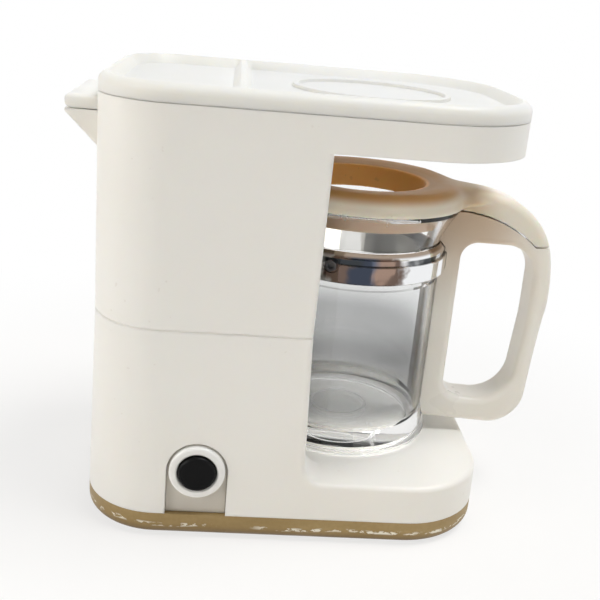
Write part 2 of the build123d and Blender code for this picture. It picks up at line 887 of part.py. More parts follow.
# pump under the tank
motor_bottom = deck_under - motor_length
chamber_bottom = tank_floor + volute_floor
chamber_top = chamber_bottom + chamber_height
with BuildPart() as pump_motor:
    with BuildSketch(Plane.XY.offset(motor_bottom + motor_cap_length)):
        with Locations((pump_x, 0)):
            Circle(motor_radius)
            Rectangle(2 * motor_radius, 2 * motor_flat, mode=Mode.INTERSECT)
            Circle(shaft_radius + running_gap, mode=Mode.SUBTRACT)
    extrude(amount=motor_length - motor_cap_length)
pump_motor.part.label = "pump_motor"
export_step(pump_motor.part, "parts/pump_motor.step")

with BuildPart() as motor_cap:
    with BuildSketch(Plane.XY.offset(motor_bottom)):
        with Locations((pump_x, 0)):
            Circle(motor_radius - motor_cap_inset)
            Rectangle(2 * motor_radius, 2 * (motor_flat - motor_cap_inset), mode=Mode.INTERSECT)
            Circle(shaft_radius + running_gap, mode=Mode.SUBTRACT)
    extrude(amount=motor_cap_length)
    for place in (-1, 1):
        with Locations((pump_x + place * motor_tab_spread, 0, motor_bottom)):
            Box(*motor_tab, align=(Align.CENTER, Align.CENTER, Align.MAX))
motor_cap.part.label = "motor_cap"
export_step(motor_cap.part, "parts/motor_cap.step")

with BuildPart() as motor_shaft:
    add(
        post(
            shaft_radius,
            motor_bottom + shaft_end_room,
            chamber_top - blade_gap - shaft_end_room,
            [(pump_x, 0)],
        )
    )
motor_shaft.part.label = "motor_shaft"
export_step(motor_shaft.part, "parts/motor_shaft.step")

with BuildPart() as impeller:
    with BuildSketch(Plane.XY.offset(chamber_bottom + blade_gap)):
        with Locations((pump_x, 0)):
            Circle(impeller_hub)
            with PolarLocations(0, blade_count):
                Rectangle(impeller_radius, blade_thick, align=(Align.MIN, Align.CENTER))
            Circle(shaft_radius, mode=Mode.SUBTRACT)
    extrude(amount=chamber_height - 2 * blade_gap)
impeller.part.label = "impeller"
export_step(impeller.part, "parts/impeller.step")

with BuildPart() as shaft_seal:
    with BuildSketch(Plane.XY.offset(deck_under + part_gap)):
        with Locations((pump_x, 0)):
            Circle(seal_radius - running_gap)
            Circle(shaft_radius + running_gap, mode=Mode.SUBTRACT)
    extrude(amount=chamber_bottom - deck_under - part_gap)
shaft_seal.part.label = "shaft_seal"
export_step(shaft_seal.part, "parts/shaft_seal.step")

with BuildPart() as pump_volute:
    with BuildSketch(Plane.XY.offset(tank_floor)):
        with Locations((pump_x, 0)):
            Circle(volute_radius)
    extrude(amount=chamber_top - tank_floor)
    with BuildSketch(Plane.XY.offset(tank_floor)):
        with Locations((socket_x + socket_wall, 0)):
            Rectangle(2 * socket_half, 2 * socket_half, align=(Align.MAX, Align.CENTER))
    extrude(amount=socket_height)
    add(post(chamber_radius, chamber_bottom, chamber_top + 5, [(pump_x, 0)]), mode=Mode.SUBTRACT)
    add(
        post(
            tube_radius + running_gap,
            chamber_bottom + outlet_rise,
            tank_floor + socket_height,
            [(socket_x, 0)],
        ),
        mode=Mode.SUBTRACT,
    )
    with Locations((pump_x + chamber_radius - outlet_size[1], 0, chamber_bottom + outlet_rise)):
        Box(
            socket_x - pump_x - chamber_radius + outlet_size[1],
            outlet_size[0],
            outlet_size[1],
            align=(Align.MIN, Align.CENTER, Align.MIN),
            mode=Mode.SUBTRACT,
        )
    add(post(seal_radius, tank_floor - 1, chamber_bottom + 1, [(pump_x, 0)]), mode=Mode.SUBTRACT)
pump_volute.part.label = "pump_volute"
export_step(pump_volute.part, "parts/pump_volute.step")

with BuildPart() as pump_cover:
    with BuildSketch(Plane.XY.offset(chamber_top)):
        with Locations((pump_x, 0)):
            Circle(volute_radius)
            Circle(inlet_radius, mode=Mode.SUBTRACT)
        with Locations((socket_x + socket_wall + part_gap, 0)):
            Rectangle(
                2 * socket_half + 2 * part_gap,
                2 * socket_half + 2 * part_gap,
                align=(Align.MAX, Align.CENTER),
                mode=Mode.SUBTRACT,
            )
    extrude(amount=cover_thick)
pump_cover.part.label = "pump_cover"
export_step(pump_cover.part, "parts/pump_cover.step")

# riser tube: up the tank, along the head and down into the drip nozzle
tube_start = chamber_bottom + tube_seat
with BuildPart() as riser_tube:
    with BuildLine() as way:
        FilletPolyline(
            (socket_x, 0, tube_start),
            (socket_x, 0, tube_top),
            (jug_x, 0, tube_top),
            (jug_x, 0, nozzle_tube_end),
            radius=tube_bend,
        )
    with BuildSketch(Plane((socket_x, 0, tube_start), z_dir=(0, 0, 1))):
        Circle(tube_radius)
        Circle(tube_bore, mode=Mode.SUBTRACT)
    sweep()
riser_tube.part.label = "riser_tube"
export_step(riser_tube.part, "parts/riser_tube.step")

with BuildPart() as drip_nozzle:
    add(post(nozzle_radius, head_bottom - nozzle_drop, head_bottom + nozzle_neck, [(jug_x, 0)]))
    add(post(nozzle_flange, head_bottom - nozzle_flange_thick, head_bottom, [(jug_x, 0)]))
    fillet(drip_nozzle.edges().group_by(Axis.Z)[0], nozzle_round)
    add(
        post(tube_radius + running_gap, nozzle_tube_end - part_gap, tube_top, [(jug_x, 0)]),
        mode=Mode.SUBTRACT,
    )
    add(
        post(nozzle_bore, head_bottom - nozzle_drop - 1, tube_top, [(jug_x, 0)]),
        mode=Mode.SUBTRACT,
    )
drip_nozzle.part.label = "drip_nozzle"
export_step(drip_nozzle.part, "parts/drip_nozzle.step")

# jug: turned about its own axis
jug_plane = Plane((jug_x, 0, 0), x_dir=(1, 0, 0), z_dir=(0, -1, 0))
jug_axis = Axis((jug_x, 0, 0), (0, 0, 1))
neck_middle = ((jug_waist + jug_mouth_radius) / 2, (jug_waist_top + jug_top) / 2)


def jug_outside(grow):
    """Outside half-profile of the jug, from the axis at its foot to its mouth."""
    foot_low = jug_bottom - grow
    foot_side = jug_foot_radius + grow
    bend = jug_foot_round * (1 - cos(radians(45)))
    with BuildLine() as profile:
        foot = Line((0, foot_low), (foot_side - jug_foot_round, foot_low))
        turn = ThreePointArc(
            foot @ 1,
            (foot_side - bend, foot_low + bend),
            (foot_side, foot_low + jug_foot_round),
        )
        side = Line(turn @ 1, (jug_radius + grow, jug_bottom + jug_foot_height))
        upright = Line(side @ 1, (jug_radius + grow, jug_shoulder - jug_shoulder_height))
        shoulder = Line(upright @ 1, (jug_waist + grow, jug_shoulder))
        waist = Line(shoulder @ 1, (jug_waist + grow, jug_waist_top))
        neck = ThreePointArc(
            waist @ 1,
            (neck_middle[0] - jug_neck_bow + grow, neck_middle[1] - 2 * mouth_roll),
            (jug_mouth_radius + grow, jug_top - 2 * mouth_roll),
        )
        Line(neck @ 1, (jug_mouth_radius + grow, jug_top))
    return profile.line


with BuildPart() as jug:
    with BuildSketch(jug_plane) as outer:
        with BuildLine():
            add(jug_outside(0))
            Polyline((jug_mouth_radius, jug_top), (0, jug_top), (0, jug_bottom))
        make_face()
        mouth_edge = outer.vertices().sort_by_distance((jug_mouth_radius, jug_top, 0))[0]
        fillet(mouth_edge, mouth_roll)
    revolve(axis=jug_axis)
    inner_radius = jug_radius - jug_wall
    inner_waist = jug_waist - jug_wall
    inner_floor = jug_bottom + jug_floor
    with BuildSketch(jug_plane):
        with BuildLine():
            lower = Polyline(
                (0, jug_top),
                (0, inner_floor),
                (inner_radius - jug_floor_round, inner_floor),
                (inner_radius, inner_floor + jug_floor_round),
                (inner_radius, jug_shoulder - jug_shoulder_height),
                (inner_waist, jug_shoulder),
                (inner_waist, jug_waist_top),
            )
            neck = ThreePointArc(
                lower @ 1,
                (neck_middle[0] - jug_neck_bow - jug_wall, neck_middle[1]),
                (jug_mouth_radius - jug_wall, jug_top),
            )
            Line(neck @ 1, lower @ 0)
        make_face()
    revolve(axis=jug_axis, mode=Mode.SUBTRACT)
    # hollow under the foot
    add(
        post(jug_foot_radius - jug_foot_rim, jug_bottom, jug_bottom + jug_foot_hollow, [(jug_x, 0)]),
        mode=Mode.SUBTRACT,
    )
jug.part.label = "jug"
export_step(jug.part, "parts/jug.step")

# band round the waist with a stepped, bevelled top and a small screw
clasp_way = (cos(radians(clasp_angle)), sin(radians(clasp_angle)), 0)
clasp_seat = Plane(
    (
        jug_x + (band_radius - clasp_sink) * clasp_way[0],
        (band_radius - clasp_sink) * clasp_way[1],
        band_bottom + clasp_rise,
    ),
    x_dir=(0, 0, 1),
    z_dir=clasp_way,
)


def band_profile(inner, grow):
    """Half-section of the band: upright outside, a step back to a collar, then a slope up to the neck."""
    collar = band_radius - band_step
    collar_top = band_top + band_collar
    with BuildSketch(jug_plane) as section:
        with BuildLine():
            Polyline(
                (inner, band_bottom - grow),
                (band_radius - band_edge + grow, band_bottom - grow),
                (band_radius + grow, band_bottom + band_edge - grow),
                (band_radius + grow, band_top - band_edge + grow),
                (band_radius - band_edge + grow, band_top + grow),
                (collar + grow, band_top + grow),
                (collar + grow, collar_top - band_edge + grow),
                (collar - band_edge + grow, collar_top + grow),
                (jug_waist + band_edge + grow, band_crown + grow),
                (inner, band_crown + grow),
                close=True,
            )
        make_face()
    return section.sketch


with BuildPart() as jug_band:
    revolve(band_profile(jug_waist + running_gap, 0), axis=jug_axis)
    # tongue that enters the handle
    with Locations((jug_x + band_radius - 1, 0, band_bottom + band_height / 2)):
        Box(tongue_reach + 1, tongue_width, tongue_height, align=(Align.MIN, Align.CENTER, Align.CENTER))
    # sunk seat and hole for the screw
    with BuildSketch(clasp_seat):
        Circle(clasp_hex * 0.72)
    extrude(amount=clasp_sink + 1, mode=Mode.SUBTRACT)
    with BuildSketch(clasp_seat):
        Circle(clasp_shank + slide_gap)
    extrude(amount=-clasp_length - part_gap, mode=Mode.SUBTRACT)
jug_band.part.label = "jug_band"
export_step(jug_band.part, "parts/jug_band.step")

with BuildPart() as band_screw:
    with BuildSketch(clasp_seat):
        RegularPolygon(clasp_hex / 2, 6, major_radius=False)
    extrude(amount=clasp_head)
    with BuildSketch(clasp_seat):
        Circle(clasp_shank)
    extrude(amount=-clasp_length)
    with BuildSketch(clasp_seat.offset(clasp_head)):
        RegularPolygon(clasp_hex / 4, 6, major_radius=False)
    extrude(amount=-clasp_socket, mode=Mode.SUBTRACT)
band_screw.part.label = "band_screw"
export_step(band_screw.part, "parts/band_screw.step")


def on_grip(share):
    """Point of the handle's outline from its share of the grip's reach and of the jug's height."""
    return (jug_side + share[0] * grip_reach, jug_bottom + share[1] * jug_height)


# handle and the strip of the jug lid share one rounded outline, parted along the seam
grip_bow = [on_grip(share) for share in grip_bow_shares]
grip_top = (grip_inner, on_grip((0, grip_top_share))[1])
grip_bottom = (grip_inner, on_grip((0, grip_bottom_share))[1])
heel = on_grip(heel_share)
heel_way = (heel[0] - grip_bow[-1][0], heel[1] - grip_bow[-1][1])
window_points = [on_grip(share) for share in window_shares]
with BuildPart() as grip:
    with BuildSketch(Plane.XZ) as loop:
        with BuildLine():
            top = Line(grip_top, grip_bow[0])
            back = Spline(*grip_bow, tangents=[top % 1, heel_way])
            Polyline(back @ 1, heel, grip_bottom, top @ 0)
        make_face()
        fillet(loop.vertices().sort_by_distance((*heel, 0))[0], heel_round)
        with BuildSketch(Plane.XY, mode=Mode.SUBTRACT) as window:
            with BuildLine():
                Polyline(*window_points, close=True)
            make_face()
            for corner, radius in zip(window_points, window_rounds):
                fillet(window.vertices().sort_by_distance((*corner, 0))[0], radius)
    extrude(amount=handle_half, both=True)
    rounded = grip.edges().filter_by(
        lambda e: abs(abs(e.center().Y) - handle_half) < 0.01 and e.center().X > grip_inner + 1
    )
    fillet(rounded, handle_edge)


def above_seam(drop):
    """Block over the seam between the handle and the strip of the jug lid."""
    far, turn, bow, rise, root = [(x, z - drop) for x, z in (on_grip(share) for share in seam_shares)]
    with BuildPart() as block:
        with BuildSketch(Plane.XZ):
            with BuildLine():
                tail = Line(far, turn)
                curve = ThreePointArc(tail @ 1, bow, rise)
                Polyline(
                    curve @ 1,
                    root,
                    (jug_x, root[1]),
                    (jug_x, head_bottom),
                    (far[0], head_bottom),
                    tail @ 0,
                )
            make_face()
        extrude(amount=2 * handle_half, both=True)
    return block.part


def jug_envelope(grow):
    """Space that the jug's outside takes up."""
    over = jug_top + jug_lid_rise
    with BuildPart() as envelope:
        with BuildSketch(jug_plane):
            with BuildLine():
                add(jug_outside(grow))
                Polyline(
                    (jug_mouth_radius + grow, jug_top),
                    (jug_mouth_radius + grow, over),
                    (0, over),
                    (0, jug_bottom - grow),
                )
            make_face()
        revolve(axis=jug_axis)
    return envelope.part


with BuildPart() as jug_handle:
    add(grip.part)
    add(above_seam(handle_seam_gap), mode=Mode.SUBTRACT)
    add(jug_envelope(slide_gap), mode=Mode.SUBTRACT)
    add(
        post(jug_lid_radius + part_gap, jug_lid_bottom - handle_seam_gap, total_height, [(jug_x, 0)]),
        mode=Mode.SUBTRACT,
    )
    revolve(band_profile(jug_waist / 2, slide_gap), axis=jug_axis, mode=Mode.SUBTRACT)
    with Locations((jug_x + band_radius - 1, 0, band_bottom + band_height / 2)):
        Box(
            tongue_reach + 1 + slide_gap,
            tongue_width + 2 * slide_gap,
            tongue_height + 2 * slide_gap,
            align=(Align.MIN, Align.CENTER, Align.CENTER),
            mode=Mode.SUBTRACT,
        )
jug_handle.part.label = "jug_handle"
export_step(jug_handle.part, "parts/jug_handle.step")

# strip of the jug lid, which runs out over the handle
with BuildPart() as lid_strip:
    add(grip.part)
    add(above_seam(0), mode=Mode.INTERSECT)
    add(post(plug_radius, jug_bottom, total_height, [(jug_x, 0)]), mode=Mode.SUBTRACT)
    add(
        post(jug_lid_radius - part_gap, jug_bottom, jug_lid_bottom, [(jug_x, 0)]),
        mode=Mode.SUBTRACT,
    )

# flare that carries the dome into the strip
flare_cuts = []
for place, half_share, shoulder_share, top_share in flare_shares:
    half = half_share * handle_half
    shoulder = jug_lid_bottom + shoulder_share * jug_lid_rise
    top = jug_lid_bottom + top_share * jug_lid_rise
    inner = flare_curve[0] * half
    rise = shoulder + flare_curve[1] * (top - shoulder)
    flare_plane = Plane((jug_x + place * jug_lid_radius, 0, 0), x_dir=(0, 1, 0), z_dir=(1, 0, 0))
    with BuildSketch(flare_plane) as cut:
        with BuildLine():
            arch = Spline((-half, shoulder), (-inner, rise), (0, top), (inner, rise), (half, shoulder))
            Polyline(arch @ 1, (half, jug_lid_bottom), (-half, jug_lid_bottom), arch @ 0)
        make_face()
    flare_cuts.append(cut.sketch)
with BuildPart() as lid_flare:
    loft(flare_cuts)
    add(post(plug_radius, jug_bottom, total_height, [(jug_x, 0)]), mode=Mode.SUBTRACT)

# jug lid: a domed ring with a wide pouring hole, a plug skirt and the strip over the handle
hole_top = jug_lid_crest - jug_lid_hole_fall
hole_bottom = jug_lid_bottom - jug_lid_hole_depth
dome_low = jug_lid_bottom + jug_lid_edge
dome_middle = ((jug_lid_radius + jug_lid_crest_radius) / 2, (dome_low + jug_lid_crest) / 2)
lip_middle = ((jug_lid_hole + jug_lid_crest_radius) / 2, (hole_top + jug_lid_crest) / 2)
under_top = hole_top - jug_lid_wall / 4
plug_inner = plug_radius - jug_lid_wall
with BuildPart() as jug_lid:
    with BuildSketch(jug_plane):
        with BuildLine():
            edge = Polyline(
                (jug_lid_radius - jug_lid_wall, jug_lid_bottom),
                (jug_lid_radius, jug_lid_bottom),
                (jug_lid_radius, dome_low),
            )
            dome = ThreePointArc(
                edge @ 1,
                (dome_middle[0] + jug_lid_swell * 0.55, dome_middle[1] + jug_lid_swell * 0.83),
                (jug_lid_crest_radius, jug_lid_crest),
            )
            lip = ThreePointArc(
                dome @ 1,
                (lip_middle[0] - jug_lid_swell * 0.4, lip_middle[1] + jug_lid_swell * 0.6),
                (jug_lid_hole, hole_top),
            )
            Polyline(
                lip @ 1,
                (jug_lid_hole, hole_bottom),
                (jug_lid_hole + jug_lid_wall, hole_bottom),
                (jug_lid_hole + jug_lid_wall, under_top),
                (plug_inner, under_top),
                (plug_inner, jug_top - plug_depth),
                (plug_radius, jug_top - plug_depth),
                (plug_radius, under_top - jug_lid_wall / 2),
                (jug_lid_radius - 2 * jug_lid_wall, jug_lid_bottom + jug_lid_wall / 2),
                edge @ 0,
            )
        make_face()
    revolve(axis=jug_axis)
    add(lid_strip.part)
    add(lid_flare.part)
jug_lid.part.label = "jug_lid"
export_step(jug_lid.part, "parts/jug_lid.step")
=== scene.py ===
import math

import bpy
from mathutils import Matrix, Vector


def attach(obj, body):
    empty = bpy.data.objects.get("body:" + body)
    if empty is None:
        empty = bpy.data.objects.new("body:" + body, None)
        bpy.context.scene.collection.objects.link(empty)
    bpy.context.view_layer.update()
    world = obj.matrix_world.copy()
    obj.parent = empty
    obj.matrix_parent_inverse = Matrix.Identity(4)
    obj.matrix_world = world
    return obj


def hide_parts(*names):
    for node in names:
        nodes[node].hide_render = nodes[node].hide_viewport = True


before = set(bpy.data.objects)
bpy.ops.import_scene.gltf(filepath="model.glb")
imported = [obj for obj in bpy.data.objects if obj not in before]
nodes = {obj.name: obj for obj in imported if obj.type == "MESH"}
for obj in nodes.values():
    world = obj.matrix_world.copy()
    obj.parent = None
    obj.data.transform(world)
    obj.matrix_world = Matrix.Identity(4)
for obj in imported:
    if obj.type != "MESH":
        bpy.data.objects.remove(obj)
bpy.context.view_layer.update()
scene = bpy.context.scene

# All lengths are in metres. The jug's upright axis stands at this X, with Y zero.
jug_axis = 0.0146

# The jug lid's ring as it shows: its hole, its crest near the rim, and the rim.
hole_radius, hole_high = 0.0167, 0.0861
crest_radius, crest_high = 0.0243, 0.0872
rim_radius, rim_low = 0.0275, 0.0832


def srgb(red, green, blue):
    """Colour from display values, 0 to 255."""
    def linear(value):
        value /= 255.0
        return value / 12.92 if value <= 0.04045 else ((value + 0.055) / 1.055) ** 2.4
    return (linear(red), linear(green), linear(blue), 1.0)


class Nodes:
    """A material's node tree with short calls for the nodes used here."""

    def __init__(self, name):
        self.material = bpy.data.materials.new(name)
        self.material.use_nodes = True
        self.tree = self.material.node_tree
        self.shader = self.tree.nodes["Principled BSDF"]
        self.coords = self.new("ShaderNodeTexCoord").outputs["Object"]

    def new(self, kind, **settings):
        node = self.tree.nodes.new(kind)
        for key, value in settings.items():
            setattr(node, key, value)
        return node

    def link(self, source, target):
        self.tree.links.new(source, target)

    def put(self, target, value):
        if hasattr(value, "is_output"):
            self.link(value, target)
        else:
            target.default_value = value

    def set(self, **values):
        """Shader inputs by name, with _ for a space."""
        for key, value in values.items():
            self.put(self.shader.inputs[key.replace("_", " ")], value)

    def noise(self, scale, detail=3.0, rough=0.5, stretch=None):
        node = self.new("ShaderNodeTexNoise")
        place = self.coords
        if stretch:
            mapping = self.new("ShaderNodeMapping")
            self.link(self.coords, mapping.inputs["Vector"])
            mapping.inputs["Scale"].default_value = stretch
            place = mapping.outputs["Vector"]
        self.link(place, node.inputs["Vector"])
        node.inputs["Scale"].default_value = scale
        node.inputs["Detail"].default_value = detail
        node.inputs["Roughness"].default_value = rough
        return node.outputs["Fac"]

    def ramp(self, value, low, high, start=0.0, end=1.0):
        """Smooth step from start at low to end at high."""
        node = self.new("ShaderNodeMapRange", interpolation_type="SMOOTHSTEP")
        self.put(node.inputs["Value"], value)
        node.inputs["From Min"].default_value = low
        node.inputs["From Max"].default_value = high
        node.inputs["To Min"].default_value = start
        node.inputs["To Max"].default_value = end
        return node.outputs["Result"]

    def maths(self, operation, first, second=0.0):
        node = self.new("ShaderNodeMath", operation=operation)
        self.put(node.inputs[0], first)
        self.put(node.inputs[1], second)
        return node.outputs[0]

    def product(self, first, second):
        return self.maths("MULTIPLY", first, second)

    def mix(self, factor, first, second):
        node = self.new("ShaderNodeMix", data_type="RGBA")
        self.put(node.inputs["Factor"], factor)
        self.put(node.inputs["A"], first)
        self.put(node.inputs["B"], second)
        return node.outputs["Result"]

    def drift(self, scale, first, second, detail=2.0):
        """Colour that wanders slowly between two."""
        return self.mix(self.ramp(self.noise(scale, detail), 0.35, 0.7), first, second)

    def gloss(self, scale, low, high, detail=4.0):
        """Roughness that wanders between two values."""
        self.set(Roughness=self.ramp(self.noise(scale, detail), 0.3, 0.7, low, high))

    def bump(self, height, strength, distance, edge=0.0):
        """Fine relief, with sharp edges rounded off by a radius of edge."""
        node = self.new("ShaderNodeBump")
        self.put(node.inputs["Height"], height)
        node.inputs["Strength"].default_value = strength
        node.inputs["Distance"].default_value = distance
        if edge:
            soft = self.new("ShaderNodeBevel", samples=4)
            soft.inputs["Radius"].default_value = edge
            self.link(soft.outputs["Normal"], node.inputs["Normal"])
        self.link(node.outputs["Normal"], self.shader.inputs["Normal"])

    def specks(self, base, amount):
        """Stray brownish specks in patches."""
        dust = self.ramp(self.noise(620.0, 1.0), 0.745, 0.77)
        patch = self.ramp(self.noise(40.0, 2.0), 0.5, 0.62)
        spots = self.product(self.product(dust, patch), amount)
        return self.mix(spots, base, srgb(150, 120, 84))

    def axis(self, letter):
        node = self.new("ShaderNodeSeparateXYZ")
        self.link(self.coords, node.inputs["Vector"])
        return node.outputs[letter]

    def from_axis(self):
        """X distance from the jug's upright axis."""
        return self.maths("SUBTRACT", self.axis("X"), jug_axis)

    def reach(self):
        """Level distance from the jug's upright axis."""
        ahead = self.maths("POWER", self.from_axis(), 2.0)
        aside = self.maths("POWER", self.axis("Y"), 2.0)
        return self.maths("SQRT", self.maths("ADD", ahead, aside))


def plastic(name, colour, warm, rough=0.36, glow=0.08, specks=0.35, shine=0.5, shade_colour=None,
            depth=0.003, spread=(1.0, 0.62, 0.34), edge=0.0005):
    """Moulded pale plastic: slight colour drift, faint mould ripple, stray specks, softened edges.
    Given a shade colour, it turns to that colour high up towards the jug, as painted shade under the strip
    of the jug lid."""
    m = Nodes(name)
    base = m.drift(16.0, colour, warm)
    if shade_colour:
        # Painted shade: high up near the jug, under the lid's strip, the colour turns to the shade colour.
        near_jug = m.ramp(m.axis("X"), 0.068, 0.046)
        high_up = m.ramp(m.axis("Z"), 0.050, 0.080)
        base = m.mix(m.product(near_jug, high_up), base, shade_colour)
    m.set(Base_Color=m.specks(base, specks))
    m.gloss(55.0, rough - 0.05, rough + 0.08)
    m.set(IOR=1.49, Specular_IOR_Level=shine)
    m.set(Subsurface_Weight=glow, Subsurface_Scale=depth, Subsurface_Radius=spread)
    m.bump(m.noise(140.0, 3.0), 0.05, 0.0004, edge)
    return m.material


def lid_plastic():
    """Jug lid in cream plastic with painted shade and light: orange painted shade round the hole, tan
    painted shade on top, on the plug and at the neck, painted light on the rim, and plain cream out on the
    strip over the handle.
    """
    # Painted shade round the hole, on the plug and at the neck; painted light on the rim.
    hole_painted_shade = srgb(250, 186, 112)
    plug_painted_shade = srgb(196, 168, 138)
    rim_painted_light = srgb(238, 230, 215)
    neck_painted_shade = srgb(218, 199, 172)
    m = Nodes("jug_lid_plastic")
    height = m.axis("Z")
    reach = m.reach()
    along = m.maths("ADD", m.axis("X"), m.product(m.noise(60.0, 2.0), 0.006))
    rim = m.product(m.ramp(height, 0.0868, 0.0842), m.ramp(reach, 0.0235, 0.0260))
    plug = m.ramp(height, 0.0824, 0.0818)
    hole = m.ramp(reach, 0.0182, 0.0170)
    neck = m.ramp(along, 0.038, 0.046)
    strip = m.ramp(along, 0.046, 0.057)
    # Painted shade: the ring's tan top, shaded by the head above.
    base = m.drift(26.0, srgb(198, 151, 95), srgb(194, 153, 104))
    for share, colour in ((plug, plug_painted_shade), (rim, rim_painted_light), (hole, hole_painted_shade), (neck, neck_painted_shade)):
        base = m.mix(share, base, colour)
    # The strip over the handle keeps the lid's own cream.
    base = m.mix(strip, base, m.drift(20.0, srgb(240, 234, 221), srgb(236, 228, 211)))
    m.set(Base_Color=m.specks(base, 0.2))
    m.gloss(55.0, 0.34, 0.46)
    m.set(IOR=1.49, Specular_IOR_Level=0.15)
    m.set(Subsurface_Weight=0.35, Subsurface_Scale=0.004, Subsurface_Radius=(1.0, 0.5, 0.2))
    m.bump(m.noise(120.0, 3.0), 0.05, 0.0004)
    return m.material


def gold_paint():
    """Gold paint on plastic: fine flake, painted shade darkening it towards the rounded foot, and a broken
    row of pale specks along the turn.
    """
    speck_height = 0.0034
    speck_pale = srgb(238, 233, 218)
    flake_dark = srgb(140, 114, 68)
    foot_painted_shade = srgb(96, 74, 42)
    m = Nodes("gold_paint")
    height = m.axis("Z")
    flake = m.ramp(m.noise(900.0, 2.0), 0.3, 0.75)
    broad = m.ramp(m.noise(36.0, 3.0, 0.6, (1.0, 1.0, 3.0)), 0.3, 0.72)
    base = m.mix(broad, srgb(152, 127, 79), srgb(166, 142, 95))
    base = m.mix(m.product(flake, 0.3), base, flake_dark)
    # Painted shade: darker towards the rounded foot.
    foot = m.ramp(height, 0.0040, 0.0006)
    base = m.mix(m.product(foot, 0.75), base, foot_painted_shade)
    # A broken row of pale, less metallic specks along the turn.
    wander = m.product(m.maths("SUBTRACT", m.noise(90.0, 2.0), 0.5), 0.0016)
    off_line = m.maths("SUBTRACT", m.maths("ADD", height, wander), speck_height)
    row = m.ramp(m.maths("ABSOLUTE", off_line), 0.0007, 0.0002)
    grains = m.ramp(m.noise(420.0, 4.0, 0.65, (1.0, 1.0, 2.0)), 0.51, 0.57)
    patches = m.ramp(m.noise(48.0, 2.0), 0.34, 0.47)
    pale_specks = m.product(m.product(grains, patches), row)
    m.set(Base_Color=m.mix(pale_specks, base, speck_pale))
    m.set(Metallic=m.ramp(pale_specks, 0.0, 1.0, 0.2, 0.0))
    m.gloss(70.0, 0.36, 0.54)
    m.bump(m.noise(420.0, 3.0), 0.12, 0.0003, edge=0.0004)
    return m.material


def plain(name, colour, other, rough, metallic=0.0, scale=60.0, shine=0.5):
    """Plain finish with a little drift in colour and gloss."""
    m = Nodes(name)
    m.set(Base_Color=m.drift(scale, colour, other, detail=3.0))
    m.gloss(scale * 2.2, rough * 0.85, rough * 1.2, detail=3.0)
    m.set(Metallic=metallic, Specular_IOR_Level=shine)
    m.bump(m.noise(scale * 5.0, 3.0), 0.05, 0.0003, edge=0.0003)
    return m.material


def clear_plastic():
    """Clear moulded plastic with a grey cast, darkened across the body by a painted reflection and lifted
    at the neck and foot by painted light: haze, ripple, fine scratches, a ring mark on the floor and a
    frosted underside."""
    mark_radius = 0.0077
    neck_painted_light = (0.97, 0.97, 0.965, 1)
    foot_painted_light = (0.97, 0.965, 0.95, 1)
    body_painted_reflection = (0.46, 0.465, 0.465, 1)
    m = Nodes("clear_plastic")
    height = m.axis("Z")
    # Painted reflection: a dark grey band across the body.
    body = m.product(m.ramp(height, 0.020, 0.031), m.ramp(height, 0.053, 0.042))
    cast = m.drift(30.0, (0.84, 0.85, 0.85, 1), (0.89, 0.89, 0.89, 1), detail=3.0)
    # Painted light: the grey cast lifted at the neck and at the foot.
    cast = m.mix(m.ramp(height, 0.057, 0.064), cast, neck_painted_light)
    cast = m.mix(m.ramp(height, 0.030, 0.022), cast, foot_painted_light)
    m.set(Base_Color=m.mix(body, cast, body_painted_reflection))
    m.set(Transmission_Weight=1.0, IOR=1.45)
    scratches = m.ramp(m.noise(420.0, 1.0, 0.5, (1.0, 0.25, 0.06)), 0.66, 0.69)
    scratches = m.product(scratches, m.ramp(m.noise(38.0, 1.0), 0.52, 0.62))
    off_mark = m.maths("ABSOLUTE", m.maths("SUBTRACT", m.reach(), mark_radius))
    mark = m.product(m.ramp(off_mark, 0.0005, 0.0002), m.ramp(height, 0.0225, 0.0215))
    underside = m.ramp(height, 0.0171, 0.0167)
    dull = m.maths("MAXIMUM", m.maths("MAXIMUM", scratches, mark), underside)
    haze = m.ramp(m.noise(24.0, 4.0), 0.35, 0.75, 0.0, 0.06)
    m.set(Roughness=m.maths("ADD", haze, m.product(dull, 0.4)))
    m.bump(m.noise(26.0, 2.0), 0.05, 0.002)
    return m.material


def chrome():
    """Bright plating with dark upright streaks as painted reflections, brown at their edges and blue-black
    within, painted shade in a broken groove, a brown top slope as a painted reflection, a painted lighter
    inside and dulling smudges."""
    reflections_round = 3.0
    reflections_start = 0.75
    bright = (0.86, 0.87, 0.88, 1)
    reflection_edge = (0.15, 0.105, 0.085, 1)
    reflection_core = (0.05, 0.06, 0.085, 1)
    groove_painted_shade = (0.045, 0.05, 0.055, 1)
    slope_painted_reflection = (0.36, 0.29, 0.23, 1)
    inner_painted_light = (0.92, 0.91, 0.89, 1)
    m = Nodes("chrome")
    height = m.axis("Z")
    azimuth = m.maths("ARCTAN2", m.axis("Y"), m.from_axis())
    ragged = m.product(m.noise(150.0, 3.0), 0.5)
    # Painted reflections: dark upright streaks around the band.
    phase = m.product(m.maths("ADD", azimuth, ragged), reflections_round)
    wave = m.maths("SINE", m.maths("SUBTRACT", phase, reflections_start))
    outer = m.mix(m.ramp(wave, 0.25, 0.5), bright, reflection_edge)
    outer = m.mix(m.ramp(wave, 0.8, 0.97), outer, reflection_core)
    # Painted shade: a broken dark line in the groove.
    groove = m.product(m.ramp(height, 0.0687, 0.0691), m.ramp(height, 0.0704, 0.0701))
    broken = m.product(groove, m.ramp(m.noise(110.0, 3.0), 0.62, 0.42))
    outer = m.mix(broken, outer, groove_painted_shade)
    # Painted reflection: brown on the top slope.
    outer = m.mix(m.ramp(height, 0.0706, 0.0712), outer, slope_painted_reflection)
    # Painted light: the inside face lighter than the outer plating.
    inside = m.product(m.ramp(m.reach(), 0.0238, 0.0234), m.ramp(height, 0.0704, 0.0700))
    m.set(Base_Color=m.mix(inside, outer, inner_painted_light))
    m.set(Metallic=1.0, Roughness=m.ramp(m.noise(90.0, 4.0), 0.3, 0.75, 0.03, 0.12))
    m.bump(m.noise(120.0, 2.0), 0.12, 0.0008, edge=0.0002)
    return m.material


